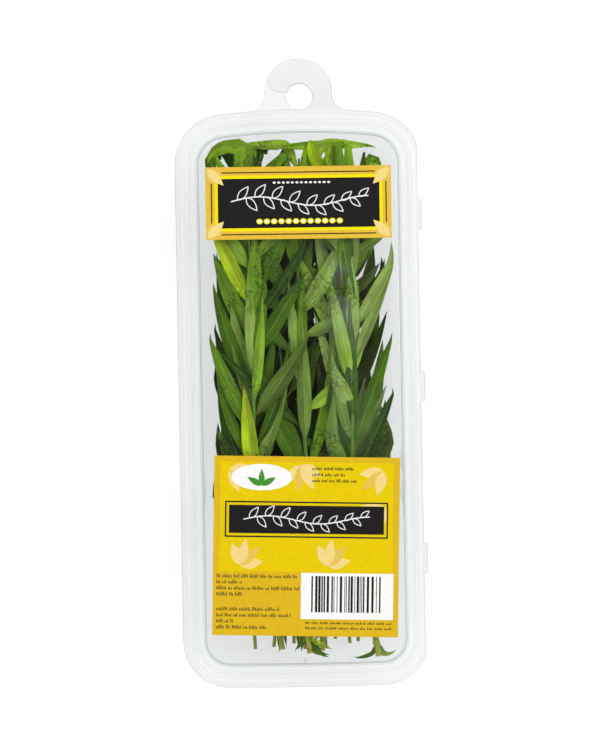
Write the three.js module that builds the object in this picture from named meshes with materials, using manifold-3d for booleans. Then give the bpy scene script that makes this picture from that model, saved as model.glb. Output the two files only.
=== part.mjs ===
// Cut tarragon in a clear hinged hang pack, lying on its back. Millimetres, +Z up, X across the pack,
// +Y towards the hang tab, origin on the table under the middle of the pack.
//
// Two formed sheets of clear plastic, a deep tray and a shallow lid, meet at their flanges and fold on
// three short hinge strips along the right side. Leafy sprigs lie in the tray in thin layers, and two paper
// labels are stuck to the lid.

import * as THREE from 'three';
import { mergeVertices } from 'three/addons/utils/BufferGeometryUtils.js';
import Module from 'manifold-3d';

const wasm = await Module();
wasm.setup();

// ---- Driving dimensions ----

const SHEET = 0.5; // thickness of the clear sheet
const SEAM_GAP = 0.3; // air between the closed flanges
const TRAY_HEIGHT = 20.35; // top of the tray's flange
const LID_HEIGHT = 26; // top of the lid's flat panel

// The flange's outline: straight sides and round corners, with the top end bowed and the bottom nearly flat.
const FLANGE = { halfWidth: 45, bottom: -115, top: 96.5 };
const TOP_SHAPE = { corner: 18.5, bow: 265, steps: 4 };
const BOTTOM_SHAPE = { corner: 17, bow: 1400, steps: 2 };
const RIGHT_TRIM = 43.6; // the right edge is trimmed back to here between the hinge strips
const CORNER_STEPS = 5;

const TAB = { x: 0.6, y: 102.6, radius: 12.4, fillet: 6, root: 94.8 };
const HOLE = { x: 1, y: 101, radius: 4.8 };
const HOOK = { radius: 4.4, y: 102.7 }; // the lid's tab ends in a hook, to get a nail under it
const HINGE = { x: 45, middle: -5.8, spacing: 63, length: 11, root: 42.9 };

const LABEL_THICKNESS = 0.2;
const TOP_LABEL = { x: 0, y: 61.9, width: 67.6, height: 26.4, turn: -0.3 };
const BOTTOM_LABEL = { x: 0.5, y: -63.2, width: 67.6, height: 65.3, turn: -1.8 };

// The bunch lies in layers, by turns one sprig up the middle and two side by side: pressed layers below,
// and three looser ones under the lid, where leaves pass over the stems and over each other.
const BUNCH = { pressedLayers: 9, looseLayers: 3, base: 0.7, gap: 0.25, seed: 64, seedStep: 977 };
// Every layer rises by the crown away from the walls; the rise swells and sinks along the pack.
const CROWN = { rise: 1.5, halfWidth: 37, halfLength: 100, swell: 0.2, wavelength: 95 };
// The tips of a layer's stems end between two places along Y, and its leaves turn back by a share of
// the angle at which they leave the stem. Some stray wide, and some lie over the stem. The looser sprigs
// also have a few small shoots hanging near their cut ends.
const PRESSED = {
  thickness: 1.45, leaves: 13, shoots: 0, levels: [0.42, 1.03], strays: 0.05, overStem: 0, slimmest: 0.8,
  tips: [30, 64], turnBack: [-0.7, -0.4], cutEnd: [-103, -98], stemRadius: 0.66, stemHeight: 0.7,
};
const LOOSE = {
  thickness: 2.2, leaves: 26, shoots: 5, levels: [0.5, 1.2, 1.85], strays: 0.2, overStem: 0.38,
  slimmest: 0.67, tips: [64, 79], turnBack: [-0.9, 0.2], cutEnd: [-104.5, -99],
  stemRadius: 1, stemHeight: 0.85,
};
// The line that parts two sprigs swings and slants anew in each layer.
const DIVIDER = {
  swing: 7, slant: 0.1, wave: 2.5, wavelength: 140, gap: 0.3, swingTurn: 1.3, slantTurn: 1.9, phaseTurn: 0.37,
};
const STEM = { tipRadius: 0.38, length: 160, sides: 4, steps: 7 };
// Where in its lane a stem starts, at which share of the lane's width it settles, and how soon.
const SETTLE = { start: [3, 13], share: [0.38, 0.6], by: 0.35, wallGap: 0.5 };
const ALONE = { sway: 40, offset: -4 }; // how far from the middle a stem with its layer to itself settles
const LEAF = {
  steps: 16, stations: [4, 8, 12], bentStations: [3, 6, 9, 12, 14], bent: 1.4, halfThickness: 0.31,
  sunk: 3.1, least: 18, leastReach: 0.4, skim: 0.05, liftedBy: 0.4, widest: 1.15, lengths: [0.84, 1.12],
  placing: [-0.45, 0.45], roll: [4, 9], twist: [-6, 6], fold: [0.02, 0.09], sweep: 1.3, freeShare: [0.1, 0.9],
};
const LOWEST = { at: 0.17, halfWidth: 3.1, length: 50 }; // the lowest full leaf on a stem
const HIGHEST = { at: 0.98, halfWidth: 2.6, length: 34 };
const SHOOT = { // a small leaf that hangs down past the cut end
  at: [0.02, 0.09], angle: [130, 176], length: [7, 12], halfWidth: [0.6, 1.1], turnBack: [-0.15, 0.1],
};
const LEAF_ANGLE = { stray: [40, 70], overStem: [-18, 5], alone: [18, 50], paired: [18, 44] };
const WALL_MARGIN = 0.6;
// How leaves bend clear: how near a wall or a neighbour may come, and how strongly they then turn off.
const STEER = {
  reach: 1.3, ahead: 3, share: 0.7, strength: 0.7, alongWall: 0.5, ownSide: 0.35, margin: 0.4, feel: 0.5,
};

// ---- Materials ----

const clearPlastic = (name) => new THREE.MeshStandardMaterial({
  name, color: '#eef3f4', roughness: 0.08, metalness: 0, transparent: true, opacity: 0.2,
});
const labelPaper = (name, color) => new THREE.MeshStandardMaterial({
  name, color, roughness: 0.45, metalness: 0,
});
const leafGreen = (name) => new THREE.MeshStandardMaterial({
  name, color: '#4c7a2c', roughness: 0.5, metalness: 0,
});

// ---- Solids ----

const point = (x, y, z) => new THREE.Vector3(x, y, z);
const radians = THREE.MathUtils.degToRad;
const { lerp, clamp, smoothstep } = THREE.MathUtils;

// A closed skin over a row of rings with points in step; a ring of one point is a tip. Quads are split
// on alternate diagonals, so that a thin blade is split alike on both of its faces.
function skin(rings) {
  const positions = rings.flat().flatMap((p) => p.toArray());
  const faces = [];
  const first = [];
  let count = 0;
  for (const ring of rings) {
    first.push(count);
    count += ring.length;
  }
  for (let k = 0; k + 1 < rings.length; k += 1) {
    const [lower, upper] = [rings[k].length, rings[k + 1].length];
    const sides = Math.max(lower, upper);
    for (let i = 0; i < sides; i += 1) {
      const j = (i + 1) % sides;
      const a = first[k] + (lower > 1 ? i : 0);
      const b = first[k] + (lower > 1 ? j : 0);
      const c = first[k + 1] + (upper > 1 ? j : 0);
      const d = first[k + 1] + (upper > 1 ? i : 0);
      if (lower === 1) faces.push(a, c, d);
      else if (upper === 1) faces.push(a, b, c);
      else if (i % 2 === 0) faces.push(a, b, c, a, c, d);
      else faces.push(a, b, d, b, c, d);
    }
  }
  const last = first[rings.length - 1];
  for (let i = 1; i + 1 < rings[0].length; i += 1) faces.push(0, i + 1, i);
  for (let i = 1; i + 1 < rings[rings.length - 1].length; i += 1) faces.push(last, last + i, last + i + 1);
  const geometry = new THREE.BufferGeometry();
  geometry.setAttribute('position', new THREE.Float32BufferAttribute(positions, 3));
  geometry.setIndex(faces);
  return geometry;
}

function toSolid(geometry) {
  const bare = geometry.clone();
  bare.deleteAttribute('normal');
  bare.deleteAttribute('uv');
  const merged = mergeVertices(bare, 1e-4);
  return new wasm.Manifold(new wasm.Mesh({
    numProp: 3,
    vertProperties: new Float32Array(merged.attributes.position.array),
    triVerts: new Uint32Array(merged.index.array),
  }));
}

function toGeometry(solid) {
  const { vertProperties, triVerts } = solid.getMesh();
  const geometry = new THREE.BufferGeometry();
  geometry.setAttribute('position', new THREE.BufferAttribute(vertProperties, 3));
  geometry.setIndex(new THREE.BufferAttribute(triVerts, 1));
  geometry.computeVertexNormals();
  return geometry;
}

const joined = (solids) => solids.reduce((whole, piece) => whole.add(piece));

// The outer skin alone, with any hollow that joining has sealed filled in.
function outerBody(solid) {
  return solid.decompose().reduce((best, one) => (one.volume() > best.volume() ? one : best));
}

function plate(shape, z, thickness) {
  const options = { depth: thickness, bevelEnabled: false, curveSegments: 8 };
  return new THREE.ExtrudeGeometry(shape, options).translate(0, 0, z);
}

function named(name, geometry, material) {
  const mesh = new THREE.Mesh(geometry, material);
  mesh.name = name;
  return mesh;
}

// ---- The two formed sheets ----

// One end of the outline: where the centres of its corners and of its bow lie, and how far round the bow
// runs before it meets the corners.
function flangeEnd({ corner, bow, steps }, tip, hand) {
  const cornerX = FLANGE.halfWidth - corner;
  const reach = bow - corner;
  const bowY = tip - hand * bow;
  const cornerY = bowY + hand * Math.sqrt(reach ** 2 - cornerX ** 2);
  return { corner, bow, steps, cornerX, cornerY, bowY, hand, lean: Math.asin(cornerX / reach) };
}

const TOP = flangeEnd(TOP_SHAPE, FLANGE.top, 1);
const BOTTOM = flangeEnd(BOTTOM_SHAPE, FLANGE.bottom, -1);

// The outline pulled in by an inset, all arcs on the same centres, trimmed along the right side.
function outline(inset, z) {
  const ring = [];
  const arc = (x, y, radius, from, to, steps, skipEnds) => {
    const start = skipEnds ? 1 : 0;
    for (let i = start; i <= steps - start; i += 1) {
      const angle = lerp(from, to, i / steps);
      const px = x + radius * Math.cos(angle);
      ring.push(point(Math.min(px, RIGHT_TRIM), y + radius * Math.sin(angle), z));
    }
  };
  const [up, down] = [Math.PI / 2, 3 * Math.PI / 2];
  arc(TOP.cornerX, TOP.cornerY, TOP.corner - inset, 0, up - TOP.lean, CORNER_STEPS);
  arc(0, TOP.bowY, TOP.bow - inset, up - TOP.lean, up + TOP.lean, TOP.steps, true);
  arc(-TOP.cornerX, TOP.cornerY, TOP.corner - inset, up + TOP.lean, Math.PI, CORNER_STEPS);
  arc(-BOTTOM.cornerX, BOTTOM.cornerY, BOTTOM.corner - inset, Math.PI, down - BOTTOM.lean, CORNER_STEPS);
  arc(0, BOTTOM.bowY, BOTTOM.bow - inset, down - BOTTOM.lean, down + BOTTOM.lean, BOTTOM.steps, true);
  arc(BOTTOM.cornerX, BOTTOM.cornerY, BOTTOM.corner - inset, down + BOTTOM.lean, 2 * Math.PI, CORNER_STEPS);
  return ring;
}

// How far a point lies inside the flange's outline.
function insetAt(x, y) {
  const across = Math.abs(x);
  let inset = FLANGE.halfWidth - across;
  for (const end of [TOP, BOTTOM]) {
    inset = Math.min(inset, end.bow - Math.hypot(x, y - end.bowY));
    const past = end.hand * (y - end.cornerY);
    if (across > end.cornerX && past > 0) {
      inset = Math.min(inset, end.corner - Math.hypot(across - end.cornerX, past));
    }
  }
  return inset;
}

const BEAD = { outer: 2.2, inner: 4.6, flank: 0.8, height: 1 }; // raised locking bead round the tray's flange
const WALL = { top: 8.6, foot: 10.45, topDrop: 0.65, footRise: 1.2 }; // inside of the tray's wall
const DOME = { foot: 6.75, top: 8.6, footRise: 0.35, topDrop: 0.5, panel: 9.3 }; // inside of the lid's wall

const FLANK_SHIFT = 0.3; // keeps the sheet's thickness down the bead's sloping flanks

// The tray's section, as insets and heights, from under its floor round the flange to the inside.
function traySection() {
  const top = TRAY_HEIGHT;
  const under = top - SHEET;
  const shift = FLANK_SHIFT;
  const beadTop = top + BEAD.height;
  return [
    [WALL.foot + 0.45, 0],
    [WALL.foot - 0.45, 0.7],
    [WALL.top - SHEET, top - 1.45],
    [WALL.top - 1, under],
    [BEAD.inner + shift, under],
    [BEAD.inner - BEAD.flank + shift, beadTop - SHEET],
    [BEAD.outer + BEAD.flank - shift, beadTop - SHEET],
    [BEAD.outer - shift, under],
    [0, under],
    [0, top],
    [BEAD.outer, top],
    [BEAD.outer + BEAD.flank, beadTop],
    [BEAD.inner - BEAD.flank, beadTop],
    [BEAD.inner, top],
    [WALL.top - 0.4, top],
    [WALL.top, top - WALL.topDrop],
    [WALL.foot, WALL.footRise],
    [WALL.foot + 0.85, SHEET],
  ];
}

// The lid's section, from under its panel down to the flange, over the bead and back to the panel.
function lidSection() {
  const under = TRAY_HEIGHT + SEAM_GAP;
  const top = under + SHEET;
  const slack = 0.15; // sideways room over the tray's bead
  const shift = FLANK_SHIFT;
  const crest = under + BEAD.height;
  return [
    [DOME.panel, LID_HEIGHT - SHEET],
    [DOME.top, LID_HEIGHT - SHEET - DOME.topDrop],
    [DOME.foot, under + DOME.footRise],
    [DOME.foot - 0.45, under],
    [BEAD.inner + slack, under],
    [BEAD.inner - BEAD.flank + slack, crest],
    [BEAD.outer + BEAD.flank - slack, crest],
    [BEAD.outer - slack, under],
    [0, under],
    [0, top],
    [BEAD.outer - slack - shift, top],
    [BEAD.outer + BEAD.flank - slack - shift, crest + SHEET],
    [BEAD.inner - BEAD.flank + slack + shift, crest + SHEET],
    [BEAD.inner + slack + shift, top],
    [DOME.foot - 0.95, top],
    [DOME.foot - 0.55, top + 0.4],
    [DOME.top - 0.55, LID_HEIGHT - 0.55],
    [DOME.panel - 0.3, LID_HEIGHT],
  ];
}

const formedSheet = (section) => toSolid(skin(section.map(([inset, z]) => outline(inset, z))));

// The hang tab: a disc run into the flange by a concave fillet on each side.
const FLANGE_LINE = TOP.bowY + Math.sqrt(TOP.bow ** 2 - (TAB.radius + TAB.fillet) ** 2);
const FILLET_Y = FLANGE_LINE + TAB.fillet;
const FILLET_REACH = Math.sqrt((TAB.radius + TAB.fillet) ** 2 - (TAB.y - FILLET_Y) ** 2);
const FILLET_TILT = Math.atan2(TAB.y - FILLET_Y, FILLET_REACH);

function tabRightSide(shape, startX) {
  shape.moveTo(startX, TAB.root);
  shape.lineTo(TAB.x + FILLET_REACH, TAB.root);
  const turnEnd = -Math.PI - FILLET_TILT;
  shape.absarc(TAB.x + FILLET_REACH, FILLET_Y, TAB.fillet, -Math.PI / 2, turnEnd, true);
}

function trayTab() {
  const shape = new THREE.Shape();
  tabRightSide(shape, TAB.x - FILLET_REACH);
  shape.absarc(TAB.x, TAB.y, TAB.radius, -FILLET_TILT, Math.PI + FILLET_TILT, false);
  shape.absarc(TAB.x - FILLET_REACH, FILLET_Y, TAB.fillet, FILLET_TILT, -Math.PI / 2, true);
  return toSolid(plate(shape, TRAY_HEIGHT - SHEET, SHEET));
}

// The lid's tab is cut away to the left of the hole and below a round-nosed hook.
function lidTab() {
  const rise = HOOK.y + HOOK.radius - TAB.y;
  const noseX = -Math.sqrt((TAB.radius - HOOK.radius) ** 2 - rise ** 2);
  const noseAngle = Math.atan2(rise, noseX);
  const shape = new THREE.Shape();
  tabRightSide(shape, HOLE.x);
  shape.absarc(TAB.x, TAB.y, TAB.radius, -FILLET_TILT, noseAngle, false);
  shape.absarc(TAB.x + noseX, HOOK.y + HOOK.radius, HOOK.radius, noseAngle, 3 * Math.PI / 2, false);
  shape.lineTo(HOLE.x, HOOK.y);
  return toSolid(plate(shape, TRAY_HEIGHT + SEAM_GAP, SHEET));
}

function hangHole() {
  const bore = new THREE.CylinderGeometry(HOLE.radius, HOLE.radius, LID_HEIGHT, 24);
  return toSolid(bore.rotateX(Math.PI / 2).translate(HOLE.x, HOLE.y, LID_HEIGHT / 2));
}

// Three short strips along the right edge, where the sheet is thinned and ribbed to fold.
function hingeStrips(section) {
  const shape = new THREE.Shape(section.map(([x, z]) => new THREE.Vector2(x, z)));
  return [-1, 0, 1].map((place) => {
    const strip = new THREE.ExtrudeGeometry(shape, { depth: HINGE.length, bevelEnabled: false });
    const end = HINGE.middle + place * HINGE.spacing + HINGE.length / 2;
    return toSolid(strip.rotateX(Math.PI / 2).translate(0, end, 0));
  });
}

function makeTray() {
  const { x, root } = HINGE;
  const [under, top] = [TRAY_HEIGHT - SHEET, TRAY_HEIGHT];
  const strip = [[root, under], [x - 0.7, under], [x, top - 0.15], [x, top], [root, top]];
  const parts = [formedSheet(traySection()), trayTab(), ...hingeStrips(strip)];
  return named('tray', toGeometry(joined(parts).subtract(hangHole())), clearPlastic('tray_plastic'));
}

function makeLid() {
  const { x, root } = HINGE;
  const under = TRAY_HEIGHT + SEAM_GAP;
  const top = under + SHEET;
  const rib = 0.3; // height of the two ribs that stiffen each strip beside its fold
  const strip = [
    [root, under], [x, under], [x, under + 0.15], [x - 0.2, top], [x - 0.45, top + rib], [x - 0.7, top],
    [x - 0.95, top], [x - 1.2, top + rib], [x - 1.45, top], [root, top],
  ];
  const parts = [formedSheet(lidSection()), lidTab(), ...hingeStrips(strip)];
  return named('lid', toGeometry(joined(parts).subtract(hangHole())), clearPlastic('lid_plastic'));
}

function makeLabel(name, label, color) {
  const paper = new THREE.BoxGeometry(label.width, label.height, LABEL_THICKNESS);
  paper.rotateZ(radians(label.turn));
  paper.translate(label.x, label.y, LID_HEIGHT + LABEL_THICKNESS / 2);
  return named(name, paper, labelPaper(`${name}_paper`, color));
}

// ---- The sprigs ----

// A small seeded generator of even draws between two values.
function seededDraw(seed) {
  let state = seed >>> 0;
  return (low, high) => {
    state = (Math.imul(state, 1664525) + 1013904223) >>> 0;
    return low + (high - low) * state / 4294967296;
  };
}

// The line that parts the two sprigs of a layer runs aslant down the middle of the pack.
function divider(layer, y) {
  const middle = DIVIDER.swing * Math.sin(DIVIDER.swingTurn * layer);
  const slant = DIVIDER.slant * Math.cos(DIVIDER.slantTurn * layer);
  const phase = y / DIVIDER.wavelength + DIVIDER.phaseTurn * layer;
  return middle + slant * y + DIVIDER.wave * Math.sin(2 * Math.PI * phase);
}

// The rise of the crowned bunch at a point.
function crown(x, y) {
  const middleY = (FLANGE.top + FLANGE.bottom) / 2;
  const across = Math.max(0, 1 - (x / CROWN.halfWidth) ** 2);
  const along = Math.max(0, 1 - ((y - middleY) / CROWN.halfLength) ** 4);
  const swell = 1 - CROWN.swell * (1 - Math.cos(2 * Math.PI * y / CROWN.wavelength));
  return CROWN.rise * across * along * swell;
}

const layerKind = (layer) => (layer < BUNCH.pressedLayers ? PRESSED : LOOSE);

function layerBase(layer) {
  const pressed = Math.min(layer, BUNCH.pressedLayers);
  const loose = layer - pressed;
  return BUNCH.base + pressed * (PRESSED.thickness + BUNCH.gap) + loose * (LOOSE.thickness + BUNCH.gap);
}

// The inset of the pack's inner wall beside a layer.
function wallInset(layer) {
  const low = layerBase(layer);
  const high = low + layerKind(layer).thickness;
  if (low > TRAY_HEIGHT + SEAM_GAP) {
    const climb = (high - TRAY_HEIGHT - SEAM_GAP) / (LID_HEIGHT - TRAY_HEIGHT - SEAM_GAP - SHEET);
    return lerp(DOME.foot, DOME.top, climb);
  }
  return lerp(WALL.foot, WALL.top, low / TRAY_HEIGHT);
}

// A sprig's lane. Side -1 or 1 lies left or right of its layer's dividing line, and side 0 has the layer
// to itself.
function makeLane(layer, side) {
  const wall = wallInset(layer) + WALL_MARGIN;
  const toWall = FLANGE.halfWidth - wall;
  const toDivider = (x, y) => side * (x - divider(layer, y));
  return {
    // free room at a point, whichever way the nearest wall or line lies
    room: (x, y) => Math.min(insetAt(x, y) - wall, side === 0 ? Infinity : toDivider(x, y) - DIVIDER.gap),
    // free room to the right or the left alone
    across: (x, y, hand) => (side === -hand ? toDivider(x, y) : toWall - hand * x),
  };
}

// A sprig's stem: its cut end lies near the middle of the pack, and it runs up the middle of its own lane.
function makeStem(layer, side, draw) {
  const cutEnd = draw(...layerKind(layer).cutEnd);
  const tip = draw(...layerKind(layer).tips);
  const start = draw(...SETTLE.start);
  const share = draw(...SETTLE.share);
  return (v) => {
    const y = lerp(cutEnd, tip, v);
    const settled = smoothstep(v, 0, side === 0 ? 1 : SETTLE.by);
    if (side === 0) {
      const middle = ALONE.sway * (share - 0.5) + ALONE.offset;
      return [lerp(start, middle, settled) + divider(layer, y) / 4, y];
    }
    const laneWidth = FLANGE.halfWidth - wallInset(layer) - SETTLE.wallGap - side * divider(layer, y);
    return [divider(layer, y) + side * lerp(start, share * laneWidth, settled), y];
  };
}

// A leaf's midrib: it leaves the stem at an angle and eases back along it. Where a wall or a neighbour
// comes near, it stops easing and turns towards the free room and along the wall, to its own side if it
// meets it head on.
function makeMidrib(root, heading, ease, length, halfWidth, room, hand) {
  let [x, y] = root;
  let turn = heading;
  const step = length / LEAF.steps;
  const path = [[x, y, turn]];
  for (let i = 1; i <= LEAF.steps; i += 1) {
    const ahead = room(x + STEER.ahead * Math.sin(turn), y + STEER.ahead * Math.cos(turn));
    const near = Math.min(room(x, y), ahead) - halfWidth * STEER.share;
    const slopeX = room(x + STEER.feel, y) - room(x - STEER.feel, y);
    const slopeY = room(x, y + STEER.feel) - room(x, y - STEER.feel);
    const closeness = clamp((STEER.reach - near) / STEER.reach, 0, 2);
    const push = closeness * STEER.strength;
    turn += ease / LEAF.steps * Math.max(1 - closeness, 0);
    const along = Math.cos(turn) * slopeX - Math.sin(turn) * slopeY;
    const sense = along - STEER.ownSide * hand * slopeY < 0 ? -STEER.alongWall : STEER.alongWall;
    const stepX = Math.sin(turn) + push * (slopeX - sense * slopeY);
    const stepY = Math.cos(turn) + push * (slopeY + sense * slopeX);
    turn = Math.atan2(stepX, stepY);
    const lack = Math.max(0, STEER.margin - room(x + step * Math.sin(turn), y + step * Math.cos(turn)));
    x += step * Math.sin(turn) + lack * slopeX;
    y += step * Math.cos(turn) + lack * slopeY;
    path.push([x, y, turn]);
  }
  return path;
}

// A lance-shaped leaf's half-width along its length, as a share of the widest.
const LANCE = { forward: 0.75, fullness: 0.9 };
const lance = (u) => Math.sin(Math.PI * u ** LANCE.forward) ** LANCE.fullness;

function makeLeaf(layer, sink, path, leaf, room) {
  const base = layerBase(layer);
  const { thickness, stemHeight } = layerKind(layer);
  const ceiling = thickness - LEAF.skim;
  const lift = (x, y, z) => point(x, y, base + z + crown(x, y));
  const rings = [[lift(...sink, stemHeight)]];
  const bend = Math.abs(path[LEAF.steps][2] - path[0][2]);
  for (const station of bend > LEAF.bent ? LEAF.bentStations : LEAF.stations) {
    const u = station / LEAF.steps;
    const [x, y, turn] = path[station];
    const half = leaf.halfWidth * lance(u);
    const roll = leaf.roll + leaf.twist * (u - 0.5);
    const middle = lerp(stemHeight, leaf.height, smoothstep(u, 0, LEAF.liftedBy));
    const edge = (hand) => {
      let reach = half * Math.cos(roll);
      const [acrossX, acrossY] = [hand * Math.cos(turn), -hand * Math.sin(turn)];
      const free = room(x + acrossX * reach, y + acrossY * reach);
      reach = Math.max(reach + Math.min(free, 0), LEAF.leastReach);
      const height = middle + hand * half * Math.sin(roll) + leaf.fold * half;
      return lift(x + acrossX * reach, y + acrossY * reach, clamp(height, LEAF.skim, ceiling));
    };
    const over = lift(x, y, middle + LEAF.halfThickness);
    const under = lift(x, y, middle - LEAF.halfThickness);
    rings.push([over, edge(1), under, edge(-1)]);
  }
  const [tipX, tipY] = path[LEAF.steps];
  rings.push([lift(tipX, tipY, leaf.height)]);
  return toSolid(skin(rings));
}

function makeStemSolid(layer, stem) {
  const { stemRadius, stemHeight } = layerKind(layer);
  const rings = [];
  for (let i = 0; i <= STEM.steps; i += 1) {
    const v = i / STEM.steps;
    const [x, y] = stem(v);
    const radius = lerp(stemRadius, STEM.tipRadius, v);
    const z = layerBase(layer) + stemHeight + crown(x, y);
    const ring = [];
    for (let k = 0; k < STEM.sides; k += 1) {
      const angle = 2 * Math.PI * (k + 0.5) / STEM.sides;
      ring.push(point(x + radius * Math.sin(angle), y, z + radius * Math.cos(angle)));
    }
    rings.push(ring);
  }
  return toSolid(skin(rings));
}

function makeSprig(number, layer, side) {
  const draw = seededDraw(BUNCH.seed + BUNCH.seedStep * number);
  const kind = layerKind(layer);
  const lane = makeLane(layer, side);
  const stem = makeStem(layer, side, draw);
  const rollSign = draw(-1, 1) < 0 ? -1 : 1;
  const solids = [makeStemSolid(layer, stem)];
  for (let j = 0; j < kind.leaves; j += 1) {
    const isShoot = j < kind.shoots;
    const place = clamp((j + draw(...LEAF.placing)) / (kind.leaves - 1), 0, 1);
    const v = isShoot ? draw(...SHOOT.at) : lerp(LOWEST.at, HIGHEST.at, place);
    const hand = j % 2 === 0 ? 1 : -1;
    const [x, y] = stem(v);
    const [backX, backY] = stem(Math.max(v - LEAF.sunk / STEM.length, 0));
    const along = Math.atan2(x - backX, y - backY);
    const halfWidth = isShoot
      ? draw(...SHOOT.halfWidth)
      : lerp(LOWEST.halfWidth, HIGHEST.halfWidth, v) * draw(kind.slimmest, LEAF.widest);
    const free = lane.across(x, y, hand) - halfWidth;
    const habit = draw(0, 1);
    const isStray = !isShoot && habit < kind.strays;
    const isOverStem = !isShoot && habit > 1 - kind.overStem;
    let spread = side === 0 ? LEAF_ANGLE.alone : LEAF_ANGLE.paired;
    if (isShoot) spread = SHOOT.angle;
    if (isStray) spread = LEAF_ANGLE.stray;
    if (isOverStem) spread = LEAF_ANGLE.overStem;
    const wanted = radians(draw(...spread));
    const full = isShoot
      ? draw(...SHOOT.length)
      : lerp(LOWEST.length, HIGHEST.length, v) * draw(...LEAF.lengths);
    const length = isStray ? clamp(free / Math.sin(wanted), LEAF.least, full) : full;
    const widest = LEAF.sweep * Math.asin(clamp(free / length, ...LEAF.freeShare));
    const angle = isShoot ? wanted : Math.min(wanted, widest);
    const ease = angle * draw(...(isShoot ? SHOOT.turnBack : kind.turnBack));
    const leaf = {
      halfWidth,
      roll: rollSign * radians(draw(...LEAF.roll)),
      twist: radians(draw(...LEAF.twist)),
      fold: draw(...LEAF.fold),
      height: isOverStem ? kind.levels.at(-1) : kind.levels[(j >> 1) % kind.levels.length],
    };
    const path = makeMidrib([x, y], along + hand * angle, hand * ease, length, halfWidth, lane.room, hand);
    const sink = isShoot ? stem(v + LEAF.sunk / STEM.length) : [backX, backY];
    solids.push(makeLeaf(layer, sink, path, leaf, lane.room));
  }
  const name = `sprig_${String(number).padStart(2, '0')}`;
  return named(name, toGeometry(outerBody(joined(solids))), leafGreen(`${name}_leaf`));
}

// ---- Assembly ----

const pack = new THREE.Group();
pack.add(makeTray());
let sprigs = 0;
for (let layer = 0; layer < BUNCH.pressedLayers + BUNCH.looseLayers; layer += 1) {
  for (const side of layer % 2 === 0 ? [0] : [-1, 1]) {
    sprigs += 1;
    pack.add(makeSprig(sprigs, layer, side));
  }
}
pack.add(makeLid());
pack.add(makeLabel('label_top', TOP_LABEL, '#c99a35'));
pack.add(makeLabel('label_bottom', BOTTOM_LABEL, '#e9c22c'));

export default pack;
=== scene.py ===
from math import acos, asin, atan2, cos, degrees, hypot, inf, pi, radians, sin, sqrt

import bmesh
import bpy
import numpy as np
from mathutils.geometry import delaunay_2d_cdt
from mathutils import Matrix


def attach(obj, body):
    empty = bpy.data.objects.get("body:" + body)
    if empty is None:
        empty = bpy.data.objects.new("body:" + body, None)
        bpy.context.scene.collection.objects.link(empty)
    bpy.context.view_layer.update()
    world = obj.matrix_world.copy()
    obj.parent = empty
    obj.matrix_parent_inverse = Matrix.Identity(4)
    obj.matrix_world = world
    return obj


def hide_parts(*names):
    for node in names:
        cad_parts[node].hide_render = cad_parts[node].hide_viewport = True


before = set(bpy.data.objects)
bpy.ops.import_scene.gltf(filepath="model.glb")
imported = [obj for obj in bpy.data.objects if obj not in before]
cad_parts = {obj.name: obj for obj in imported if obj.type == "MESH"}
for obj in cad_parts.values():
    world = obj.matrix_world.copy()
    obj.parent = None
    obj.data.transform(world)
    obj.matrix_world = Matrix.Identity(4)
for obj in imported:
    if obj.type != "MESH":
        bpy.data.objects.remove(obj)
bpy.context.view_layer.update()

# ---- The table top, the camera and the light ----
# The pack lies on a white light table, a matt sheet that glows softly from below. A white tent lights it from
# all round but is dim straight above, and a broad lamp stands on the right. The camera looks straight down.

MM = 0.001
TABLE_HALF = 2500
TABLE_TOP = -0.25
TABLE_GREY, TABLE_WHITE = (0.29, 0.29, 0.29, 1), (0.30, 0.30, 0.30, 1)
TABLE_GLOW = 0.74
SHARP_BEND = 35  # degrees
scene = bpy.context.scene


def add_node(where, kind, inputs=None, **settings):
    """A shader node with its settings, in a tree or beside a socket of the tree. Each input is set to a
    value, or linked if it is given a socket."""
    tree = where.id_data
    made = tree.nodes.new("ShaderNode" + kind)
    for key, value in settings.items():
        setattr(made, key, value)
    for key, value in (inputs or {}).items():
        if isinstance(value, bpy.types.NodeSocket):
            tree.links.new(value, made.inputs[key])
        else:
            made.inputs[key].default_value = value
    return made


def new_material(name):
    """An empty node material, its tree, and the place on the piece that wears it."""
    material = bpy.data.materials.new(name)
    material.use_nodes = True
    tree = material.node_tree
    tree.nodes.clear()
    return material, tree, add_node(tree, "TexCoord").outputs["Object"]


def show(shader):
    """The shader becomes what the material shows."""
    add_node(shader, "OutputMaterial", {"Surface": shader.outputs[0]})


def noise(place, scale, detail):
    """Smooth noise of a scale, with as many finer layers over it as the detail says."""
    return add_node(place, "TexNoise", {"Vector": place, "Scale": scale, "Detail": detail}).outputs["Fac"]


def ranged(value, low, high, at_low, at_high, how="LINEAR"):
    """Runs from at_low to at_high while the value runs from low to high, and stays level beyond them."""
    span = {0: value, 1: low, 2: high, 3: at_low, 4: at_high}
    return add_node(value, "MapRange", span, interpolation_type=how).outputs[0]


def blend(share, first, second, how="MIX"):
    """The second colour over the first by a share."""
    sides = {0: share, 6: first, 7: second}
    return add_node(share, "Mix", sides, data_type="RGBA", blend_type=how).outputs[2]


def new_piece(name, points, faces, materials, sharp=SHARP_BEND, marks=None):
    """A mesh object from points in millimetres and faces as rows of point numbers. Edges that turn by
    more than the sharp angle stay crisp. The marks are the faces' material numbers."""
    mesh = bpy.data.meshes.new(name)
    mesh.from_pydata((np.asarray(points, float) * MM).tolist(), [], [list(map(int, f)) for f in faces])
    for material in materials:
        mesh.materials.append(material)
    if marks is not None:
        mesh.polygons.foreach_set("material_index", np.asarray(marks, np.int32))
    mesh.polygons.foreach_set("use_smooth", np.ones(len(mesh.polygons), bool))
    mesh.set_sharp_from_angle(angle=radians(sharp))
    mesh.update()
    piece = bpy.data.objects.new(name, mesh)
    scene.collection.objects.link(piece)
    return piece


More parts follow.
